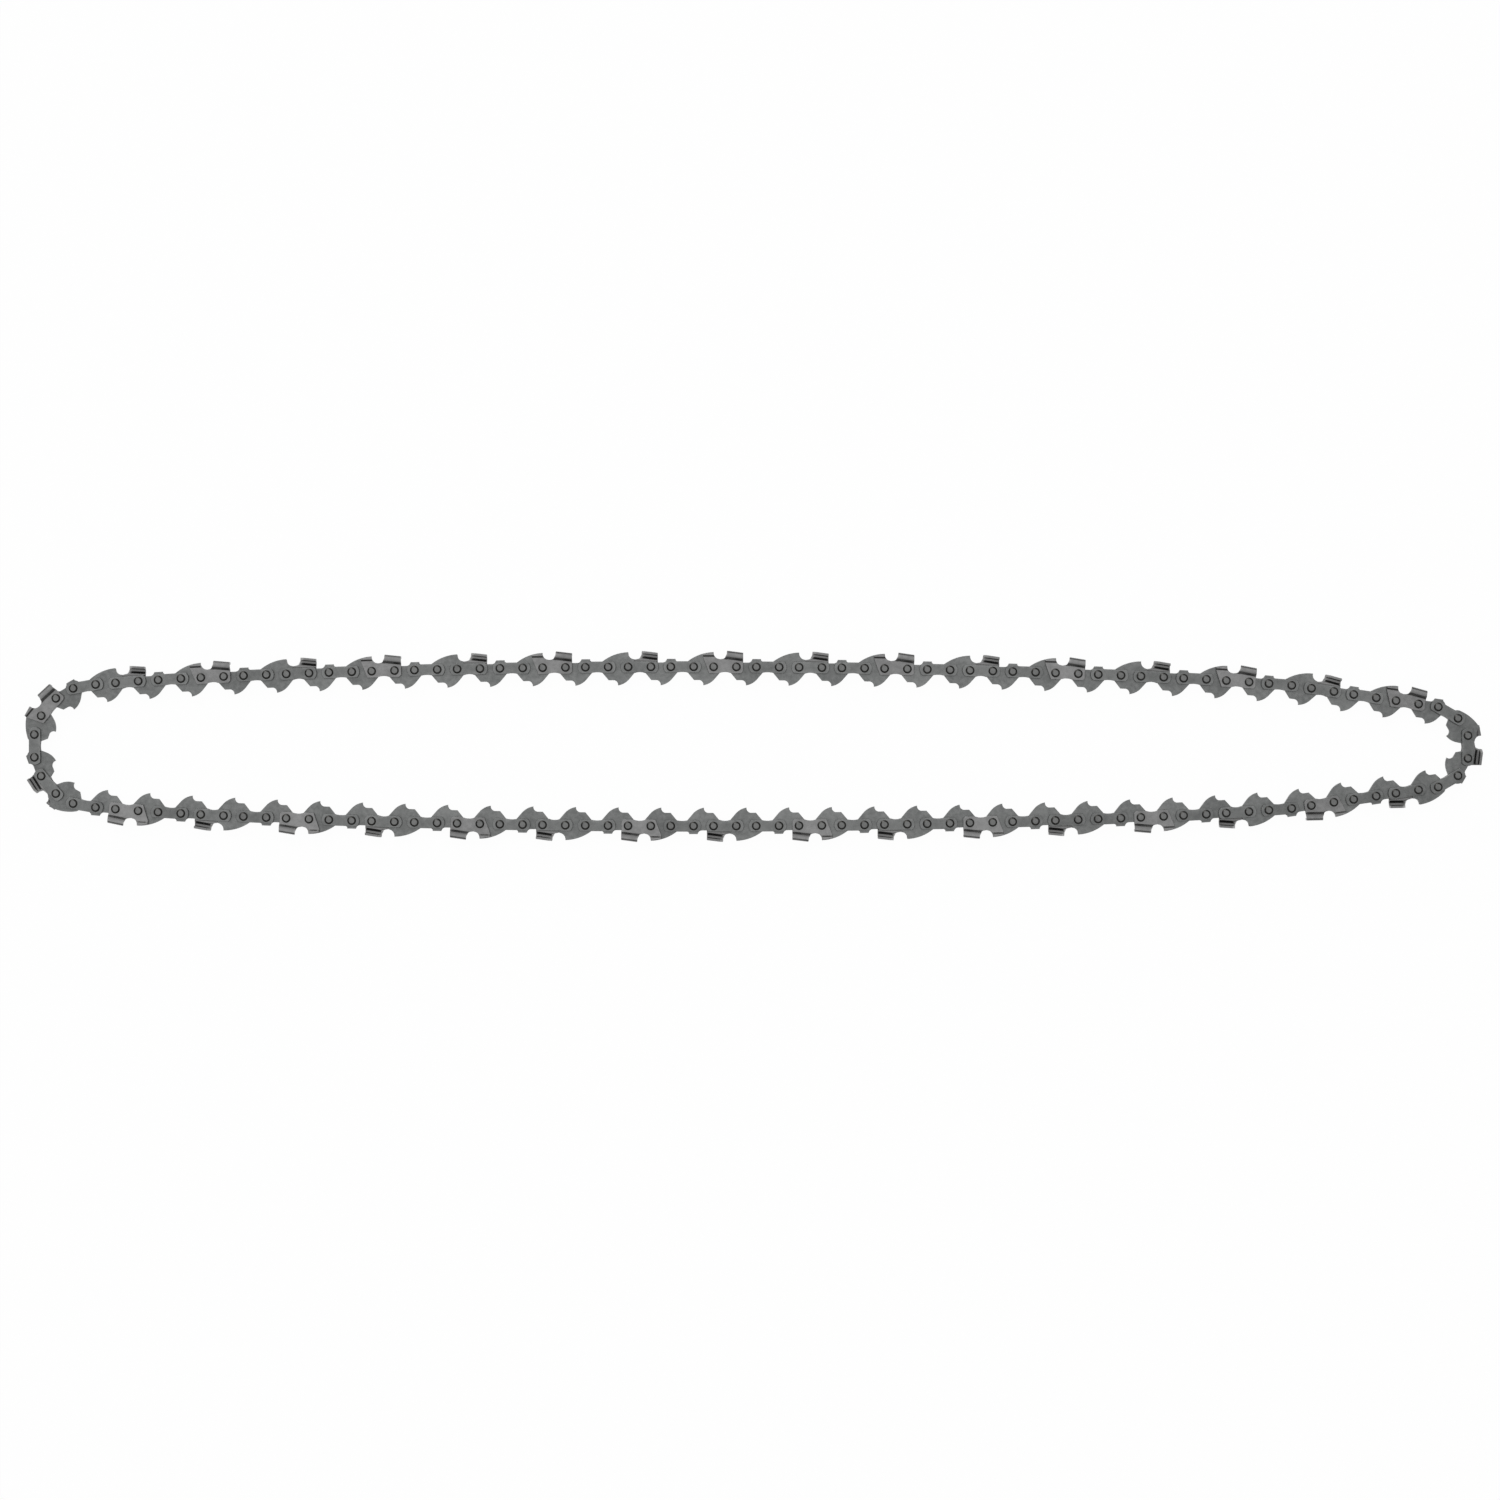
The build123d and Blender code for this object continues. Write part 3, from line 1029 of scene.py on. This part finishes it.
@dataclass
class Cutter(LinkKind):
    """Left-hand or right-hand cutter: one bent sheet with depth gauge, gullet and top plate.

    Attributes:
        side: side of the chain that it lies on.
        depth, arch_depth, arch_length: the foot and the hollow under it.
        toe, gauge_front, gauge_knee, gauge_height, gauge_slope: the depth gauge in side view.
        bend_height, bend_rise, bend_margin, lean: where the depth gauge steps outwards, over what
            height, how close to the step the sheet is flat again, and how far it steps.
        plate_lip, plate_height, plate_length, plate_slope: the top plate in side view, from its lip.
        plate_thickness, plate_reach, plate_angle: its thickness, its reach past the chain's middle
            and the angle of its ground front.
        corner, flare_top, flare_drop: the section, down from the top plate's cut corner.
        row_drop: distance of the rows under the flare at the rear edge.
        heel: width of the corner that is taken off the foot.
        edge, edge_faces, edge_angle: width of the broken edges, faces across them, and the angle in
            degrees over which an edge is broken.
        inner_painted_shade, sawn_painted_shade, flare_painted_shade, step_painted_shade: how much more
            painted shade, in the oil's colour, than oil round a rivet there is inside the tooth, on the
            top plate's sawn edge, on the flare and on the gauge's step.
        corner_painted_shade, line_width: the same for a painted dark line under the cut corner, and how
            wide that line is.
        strap_painted_shadow, strap_line: the same for a painted contact shadow inside, along the edge of
            the strap across, and its height.
    """

    side: Side = Side.NEAR
    depth: float = 2.84
    arch_depth: float = 0.64
    arch_length: float = 5.60
    toe: float = 1.96
    gauge_front: float = 4.62
    gauge_knee: float = 4.00
    gauge_height: float = 6.45
    gauge_slope: float = 11.0
    bend_height: float = 4.46
    bend_rise: float = 0.58
    bend_margin: float = 0.12
    lean: float = 0.55
    plate_lip: float = 0.06
    plate_height: float = 7.09
    plate_length: float = 7.20
    plate_slope: float = 7.3
    plate_thickness: float = 1.10
    plate_reach: float = 0.60
    plate_angle: float = 25.0
    corner: float = 0.60
    flare_top: float = 2.65
    flare_drop: float = 1.00
    row_drop: float = 0.25
    heel: float = 1.00
    edge: float = 0.10
    edge_faces: int = 2
    edge_angle: float = 48.0
    # painted shade in the oil's colour inside the tooth, on the sawn edge, flare, gauge's step and under the
    # cut corner, and a painted contact shadow along the strap
    inner_painted_shade: float = 2.5
    sawn_painted_shade: float = 2.2
    flare_painted_shade: float = 3.0
    step_painted_shade: float = 4.6
    corner_painted_shade: float = 4.0
    line_width: float = 0.30
    strap_painted_shadow: float = 6.0
    strap_line: float = TieStrap.height

    @property
    def plate_front(self) -> float:
        """Start of the top plate's slope, a lip's width behind the gullet."""
        return SIZES.gullet_back + self.reach(self.plate_height) + self.plate_lip

    def reach(self, height: Array) -> Array:
        """Half the gullet's width at a height over the rivets."""
        return np.sqrt(np.clip(SIZES.gullet_radius**2 - (height - SIZES.gullet_height) ** 2, 0, None))

    def crown(self, x: Array) -> Array:
        """Height of the top plate's sloping line."""
        return self.plate_height - (x - self.plate_front) * tan(radians(self.plate_slope))

    def foot(self, x: Array) -> Array:
        """Height of the bottom edge: flat, with a hollow of parabolic shape in the middle."""
        t = (x - SIZES.side_spacing / 2) / (self.arch_length / 2)
        return -self.depth + self.arch_depth * np.clip(1 - t**2, 0, None)

    def gauge_sheet(self) -> Sheet:
        """Front half: x runs from the front edge to the gullet.

        Each row is the straight line between a point of the front edge and a point of the gullet's
        wall. The sheet steps out by the lean, in proportion to the height over the bend.

        Returns:
            The half with its painted shade.
        """
        floor, knee = SIZES.gullet_floor, self.gauge_knee
        low = [-self.depth, self.heel - self.depth, self.strap_line, floor, (floor + knee) / 2, knee]
        start, end = self.bend_height, self.bend_height + self.bend_rise
        step = [start - self.bend_margin, start, end, end + self.bend_margin]
        top = self.gauge_height - self.gauge_front * sin(radians(self.gauge_slope))
        ahead, behind = (np.array([*low, *step, peak]) for peak in (top, self.gauge_height))
        edge = (self.gauge_front - self.toe) * (ahead + self.depth) / (knee + self.depth)
        front = np.stack([-np.minimum(self.toe + edge, self.gauge_front), ahead], 1)
        rear = np.stack([SIZES.gullet_back - self.reach(np.maximum(behind, floor)), behind], 1)
        t = np.linspace(0, 1, CHORDS.gauge + 1)[None, :, None]
        flat = front[:, None] + t * (rear - front)[:, None]
        flat[0, :, 1] = self.foot(flat[0, :, 0])
        out = self.lean * np.clip((flat[..., 1:] - self.bend_height) / self.bend_rise, 0, 1)
        outer = np.concatenate([flat, SIZES.plate_outer + out], 2)
        return Sheet(
            np.stack([outer, outer - [0, 0, SIZES.plate_thickness]]),
            np.zeros(len(ahead)),
            # painted shade at the gauge's step, and a painted contact shadow on the inner face along the
            # strap's edge
            np.isin(ahead, (start, end)) * self.step_painted_shade,
            (ahead == self.strap_line) * self.strap_painted_shadow,
        )

    def tooth_section(self) -> tuple[Array, Array, list[float]]:
        """Section across the tooth as rows (down from the crown, out from the middle).

        It goes up the flare, up the band, over the cut corner and back across the chain's middle.
        The inner face bends over a third of the sheet's thickness.

        Returns:
            Outer rows, inner rows, and the painted shade along each row.
        """
        outer, thick = SIZES.kerf_half_width, SIZES.plate_thickness
        inner, knee, plate = outer - thick, thick / 3, self.plate_thickness
        flare = np.linspace(0, 1, CHORDS.flare + 1)[:, None]
        low = np.array([self.flare_top + self.flare_drop, SIZES.plate_outer])
        rise = np.array([self.flare_top, outer]) - low
        band, line = (self.flare_top + self.corner) / 2, self.corner + self.line_width
        side = [(band, outer), (line, outer), (self.corner, outer), (0, outer - self.corner)]
        bend = [(band, inner), (plate + knee, inner), (plate + knee / 2, inner), (plate, inner - knee / 2)]
        across = np.linspace(outer - self.corner, -self.plate_reach, CHORDS.top + 1)[1:]
        over, beneath = (np.stack([np.full(CHORDS.top, down), across], 1) for down in (0, plate))
        # painted shade on the flare, and a painted dark line under the cut corner
        oil_and_shade_film = [self.flare_painted_shade] * len(flare) + [0, 0, self.corner_painted_shade, 0] + [0] * CHORDS.top
        return (
            np.vstack([low + flare * rise, side, over]),
            np.vstack([low - [knee, thick] + flare * rise, bend, beneath]),
            oil_and_shade_film,
        )

    def tooth_front(self, down: Array, out: Array) -> Array:
        """The x of the ground front: on the gullet's circle, further back towards the chain's middle."""
        filed = (SIZES.kerf_half_width - out) * tan(radians(self.plate_angle))
        return SIZES.gullet_back + self.reach(self.plate_height - down) + filed

    def tooth_sheet(self) -> Sheet:
        """Rear half: x runs from the gullet to the rear edge.

        The lower rows are straight lines on the side plate. Every row above keeps its distance
        under the sloping crown, and starts at the ground front.

        Returns:
            The half with its painted shade and its ground front.
        """
        back = self.plate_front + self.plate_length
        t = np.linspace(0, 1, CHORDS.tooth + 1)
        left = np.array([-self.depth, self.heel - self.depth, self.strap_line, SIZES.gullet_floor])
        ends = np.array([back - self.heel, back, back, back])
        *sections, oil_and_shade_film = self.tooth_section()
        faces = []
        for section, z in zip(sections, (SIZES.plate_outer, SIZES.plate_inner)):
            flare_rear = self.crown(back) - section[0, 0]
            right = np.array([*left[:2], flare_rear - 2 * self.row_drop, flare_rear - self.row_drop])
            x = SIZES.gullet_back + t * (ends - SIZES.gullet_back)[:, None]
            y = left[:, None] + t * (right - left)[:, None]
            y[0] = self.foot(x[0])
            low = np.stack([x, y, np.full_like(x, z)], 2)
            start = self.tooth_front(section[:, 0], section[:, 1])
            x = start[:, None] + t * (back - start)[:, None]
            y = np.minimum(self.crown(x), self.plate_height) - section[:, :1]
            high = np.stack([x, y, np.broadcast_to(section[:, 1:], x.shape)], 2)
            faces.append(np.concatenate([low, high]))
        # painted shade of the tooth's rows, and a painted contact shadow on the strap's row of the inner
        # face
        oil_and_shade_film = np.pad(oil_and_shade_film, (len(left), 0))
        inner_painted_shadow = np.pad((left == self.strap_line) * self.strap_painted_shadow, (0, len(oil_and_shade_film) - len(left)))
        return Sheet(np.stack(faces), np.arange(len(oil_and_shade_film)) > len(left), oil_and_shade_film, inner_painted_shadow)

    def skin(self) -> Skin:
        """Both halves of the sheet, welded at the gullet, with the rim between outer and inner faces.

        Points of the two halves that coincide become one. An edge of the sheet that only one face
        has gets a quad from the outer face to the inner one.

        Returns:
            The surface of one cutter of the near side.
        """
        gauge, tooth = self.gauge_sheet(), self.tooth_sheet()
        outer, inner = np.concatenate([gauge.points(), tooth.points()], 1)
        quads = np.vstack([gauge.quads(), tooth.quads() + gauge.points().shape[1]])
        rounded = outer.round(WELD_DIGITS)
        _, kept, number = np.unique(rounded, axis=0, return_index=True, return_inverse=True)
        quads = number.reshape(-1)[quads]
        outer, inner = outer[kept], inner[kept]
        wear, oil_and_shade_film, inner_painted_shadow = np.concatenate([gauge.marks(), tooth.marks()], 1)[:, kept]
        edges = np.stack([quads, np.roll(quads, -1, 1)], 2).reshape(-1, 2)
        _, place, uses = np.unique(np.sort(edges, 1), axis=0, return_index=True, return_counts=True)
        rim = edges[place[uses == 1]]
        size = len(outer)
        walls = np.stack([rim[:, 1], rim[:, 0], rim[:, 0] + size, rim[:, 1] + size], 1)
        points = np.vstack([outer, inner])
        grime = rivet_film(points, SIZES.side_spacing)
        # painted shade and painted contact shadow of the rows, over the oil round the rivets
        grime = np.maximum(grime, np.concatenate([oil_and_shade_film, np.maximum(oil_and_shade_film, inner_painted_shadow)]))
        inside = (np.arange(len(points)) >= size) & (points[:, 1] > SIZES.gullet_floor)
        sawn = np.isclose(points[:, 2], -self.plate_reach)
        # painted shade over the inside of the tooth and on the top plate's sawn edge, in place of the oil
        grime = np.where(inside, np.where(sawn, self.sawn_painted_shade, self.inner_painted_shade), grime)
        faces = np.vstack([quads, quads[:, ::-1] + size, walls])
        return Skin(points, faces, [], {Mark.WEAR: np.tile(wear, 2), Mark.GRIME: grime})

    def laid(self, links: Array, rivets: Array) -> Skin:
        """Copies on the cutter links of its own side."""
        here = [n for n in Place.CUTTER.among(links) if cutter_side(n, len(rivets)) is self.side]
        skin = self.skin() if self.side is Side.NEAR else self.skin().flipped()
        return self.copies(skin, np.array(here, int), rivets)

    def finished(self, made: Object) -> None:
        """Breaks the edges of the sheet."""
        bevel = made.modifiers.new("broken edges", "BEVEL")
        bevel.width = self.edge * MM
        bevel.segments = self.edge_faces
        bevel.limit_method = "ANGLE"
        bevel.angle_limit = radians(self.edge_angle)
        super().finished(made)


@dataclass
class Rivet(LinkKind):
    """Rivet with a spun head at both ends: a thin rim, a tapered flank and a flat button.

    Attributes:
        button: radius of the flat top.
        rim: height of the thin rim on the side plate.
        rounding: width of the rounded edge of the button.
        dark_oil_and_shade: oil and painted shade at the shank, the rim's foot and top, the end of the flank,
            and the button.
    """

    button: float = 1.25
    rim: float = 0.07
    rounding: float = 0.14
    # oil and painted shade by ring: the rim and flank carry the head's painted shade
    dark_oil_and_shade: tuple[float, ...] = (0.8, 1.0, 1.0, 0.7, 0.1)

    def skin(self) -> Skin:
        """A profile turned about the rivet's axis: shank, rim, flank, rounding, button, on both ends.

        Returns:
            The surface of one rivet.
        """
        face = SIZES.plate_outer + SIZES.fixed_clearance
        top, flat = face + SIZES.head_height, self.button - self.rounding
        head = np.array([
            (SIZES.hub_radius, face),
            (SIZES.head_radius, face),
            (SIZES.head_radius - self.rim, face + self.rim),
            (self.button + self.rounding / 2, top - self.rounding / 2),
            (flat, top),
        ])
        radius, high = np.vstack([head[::-1] * [1, -1], head]).T
        rounds = [circle_points((0, 0), r, 0, 2 * pi, CHORDS.rivet) for r in radius]
        points = np.column_stack([np.vstack(rounds), np.repeat(high, CHORDS.rivet)])
        rings = np.arange(len(points)).reshape(-1, CHORDS.rivet)
        # oil at each ring, with painted shade on the head's rim and flank
        marks = {Mark.WEAR: np.isclose(radius, flat), Mark.GRIME: np.append(self.dark_oil_and_shade[::-1], self.dark_oil_and_shade)}
        marks = {mark: np.repeat(values, CHORDS.rivet) for mark, values in marks.items()}
        return Skin(points, rings_to_quads(rings)[:, ::-1], [rings[-1], rings[0][::-1]], marks)

    def laid(self, links: Array, rivets: Array) -> Skin:
        """One at each end of every side plate, which are the links with odd numbers."""
        sides = links[links % 2 == 1]
        places = np.concatenate([sides, (sides + 1) % len(rivets)])
        return self.copies(self.skin(), places, rivets)


# The whole chain


@dataclass
class Chain:
    """All the links and rivets, one piece for each kind on each stiff run.

    Attributes:
        loop: where the rivets lie.
        kinds: the kinds of piece.
    """

    loop: Loop
    kinds: list[LinkKind]

    def build(self) -> list[Object]:
        """Makes, dresses and attaches every piece.

        Returns:
            The pieces.
        """
        self.loop.check()
        rivets = self.loop.rivets()
        made = []
        for run, links in self.loop.runs().items():
            for kind in self.kinds:
                surface = kind.laid(links, rivets)
                piece = surface.make(f"dressed_{run}_{kind.name}", self.loop.height(), kind.crease)
                kind.finished(piece)
                kind.dress(piece)
                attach(piece, run)
                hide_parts(f"{run}_{kind.name}")
                LOG.info("%s: %d faces", piece.name, len(piece.data.polygons))
                made.append(piece)
        return made


# Floor, light and camera


@dataclass(frozen=True)
class Studio:
    """A pale floor, a soft lamp, a room with a window, and a camera straight over the chain.

    Attributes:
        frame_width: width of the picture at the chain, in metres.
        aim: from the middle of the chain's box to the middle of the picture, in metres.
        roll: turn of the picture in degrees.
        camera_height: height of the camera over the floor.
        floor_size, floor_colour: side and colour of the floor.
        floor_glow: share of plain white in what is seen of the floor, which leaves a faint shadow.
        overhead, horizon, window: brightness of the room above, round the horizon and at its window.
        overhead_edge: sines of the elevation where the room above starts and is full.
        window_place, window_edge: direction of the window, and the cosines where it starts and is full.
        key_power, key_size, key_place: the soft lamp.
    """

    frame_width: float = 0.6536
    aim: Pair = (-0.00190, -0.00153)
    roll: float = 0.044
    camera_height: float = 1.50
    floor_size: float = 30.0
    floor_colour: Triple = (0.92, 0.92, 0.92)
    floor_glow: float = 0.97
    overhead: float = 0.45
    horizon: float = 0.38
    window: float = 2.7
    overhead_edge: Pair = (0.62, 0.86)
    window_place: Triple = (-0.37, 0.77, 0.52)
    window_edge: Pair = (0.88, 0.98)
    key_power: float = 9.0
    key_size: Pair = (2.2, 1.7)
    key_place: Triple = (-0.15, 0.30, 1.60)

    def build(self) -> None:
        """Makes the floor, the room, the light and the camera."""
        self._floor()
        self._room()
        self._light()
        self._camera()
        bpy.context.scene.view_settings.view_transform = "Standard"

    def _floor(self) -> None:
        """A flat sheet under the chain, seen as nearly plain white with the chain's faint shadow."""
        half = self.floor_size / 2
        corners = np.array([[-1, -1, 0], [1, -1, 0], [1, 1, 0], [-1, 1, 0]]) * half
        mesh = bpy.data.meshes.new("floor")
        mesh.from_pydata(corners + [0, 0, CAD_BOX[0].z], [], [[0, 1, 2, 3]])
        floor = placed("floor", mesh)
        kit = NodeKit(bpy.data.materials.new("pale_floor"))
        matt = kit.node("ShaderNodeBsdfDiffuse", {}, {"Color": (*self.floor_colour, 1)})
        white = kit.node("ShaderNodeEmission", {}, {"Color": (1, 1, 1, 1), "Strength": 1.0})
        path = kit.node("ShaderNodeLightPath", {}, {}).outputs
        seen = [Number(kit, path[f"Is {kind} Ray"]) for kind in ("Camera", "Glossy", "Transmission")]
        share = sum(seen).within(0, 1) * self.floor_glow
        shader = kit.node("ShaderNodeMixShader", {}, {0: share, 1: matt.outputs[0], 2: white.outputs[0]})
        kit.node("ShaderNodeOutputMaterial", {}, {"Surface": shader.outputs[0]})
        mesh.materials.append(kit.owner)

    def _room(self) -> None:
        """Room that is bright overhead and darker round the horizon, with a soft window on one side.

        The strength is horizon + (overhead - horizon) * a + window * b, where a rises with the
        height of a direction, and b as it comes close to that of the window.
        """
        kit = NodeKit(bpy.data.worlds.new("studio"))
        bpy.context.scene.world = kit.owner
        place = kit.node("ShaderNodeTexCoord", {}, {}).outputs["Generated"]
        split = kit.node("ShaderNodeSeparateXYZ", {}, {0: place}).outputs
        above = self._rise(kit, split["Z"], *self.overhead_edge)
        towards = sum(Number(kit, split[axis]) * part for axis, part in zip("XYZ", self.window_place))
        beside = self._rise(kit, towards, *self.window_edge)
        strength = self.horizon + above * (self.overhead - self.horizon) + beside * self.window
        light = kit.node("ShaderNodeBackground", {}, {"Color": (1, 1, 1, 1), "Strength": strength})
        kit.node("ShaderNodeOutputWorld", {}, {"Surface": light.outputs[0]})

    def _rise(self, kit: NodeKit, value: NodeSocket | Number, low: float, high: float) -> Number:
        """Smooth step from 0 to 1 between two values."""
        limits = {"Value": value, "From Min": low, "From Max": high}
        node = kit.node("ShaderNodeMapRange", {"interpolation_type": "SMOOTHSTEP"}, limits)
        return Number(kit, node.outputs[0])

    def _light(self) -> None:
        """One large soft lamp over the chain, a little towards the top left of the picture."""
        lamp = bpy.data.lights.new("soft_light", "AREA")
        lamp.shape = "RECTANGLE"
        lamp.size, lamp.size_y = self.key_size
        lamp.energy = self.key_power
        holder = placed("soft_light", lamp)
        holder.location = self.key_place
        holder.rotation_euler = (-Vector(self.key_place)).to_track_quat("-Z", "Y").to_euler()

    def _camera(self) -> None:
        """A long lens that looks straight down."""
        lens = bpy.data.cameras.new("camera")
        middle = (CAD_BOX[0] + CAD_BOX[1]) / 2
        lens.sensor_fit = "HORIZONTAL"
        lens.angle = 2 * atan(self.frame_width / 2 / (self.camera_height - CAD_BOX[1].z))
        lens.clip_end = 2 * self.floor_size
        holder = placed("camera", lens)
        holder.location = (middle.x + self.aim[0], middle.y + self.aim[1], self.camera_height)
        holder.rotation_euler = (0, 0, radians(self.roll))
        bpy.context.scene.camera = holder


def main() -> None:
    """Builds the chain and the studio, and logs the number of pieces."""
    logging.basicConfig(level=logging.INFO, format="%(message)s")
    kinds = [
        BumperDriveLink("bumper_drive_links", "drive_link_steel", DRIVE_STEEL),
        DriveLink("drive_links", "drive_link_steel", DRIVE_STEEL),
        TieStrap("tie_straps", "strap_steel", STRAP_STEEL),
        Cutter("left_cutters", "cutter_chrome", CHROME, side=Side.NEAR),
        Cutter("right_cutters", "cutter_chrome", CHROME, side=Side.FAR),
        Rivet("rivets", "rivet_steel", RIVET_STEEL),
    ]
    pieces = Chain(Loop(), kinds).build()
    Studio().build()
    LOG.info("%d pieces", len(pieces))


if __name__ == "__main__":
    main()
